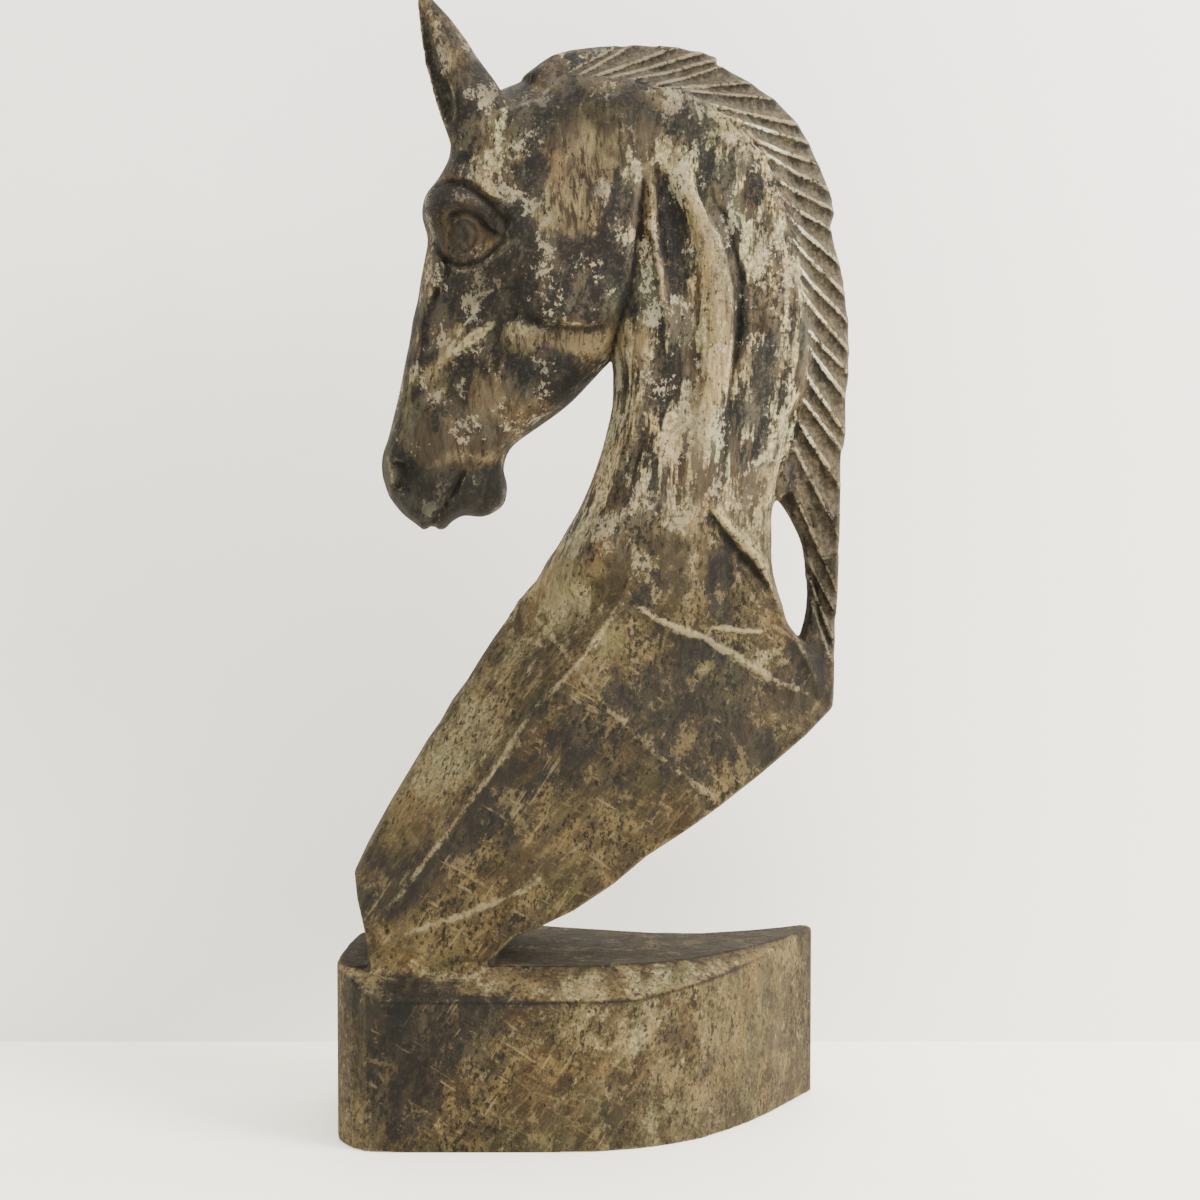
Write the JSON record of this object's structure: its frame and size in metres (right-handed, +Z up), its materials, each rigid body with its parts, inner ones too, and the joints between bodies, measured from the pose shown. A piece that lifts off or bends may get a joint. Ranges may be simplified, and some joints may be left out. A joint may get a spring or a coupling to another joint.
{
  "type": "horse head sculpture",
  "caption": "Weathered carved wooden horse head with an arched neck, fluted mane and faceted shoulder, standing on a low plinth carved from the same block.",
  "frame": {"origin": "middle of the bounding box on the underside of the plinth", "axes": "+Z up, the longest extent; the horse looks along -X; +Y runs through the thickness of the carving, the shortest extent"},
  "size_m": [0.2712, 0.1339, 0.5991],
  "materials": {
    "weathered_wood": "hand-carved wood with worn dark paint and whitewash, matt and dry"
  },
  "bodies": {
    "root": {"horse_head_and_plinth": "weathered_wood"}
  },
  "joints": []
}
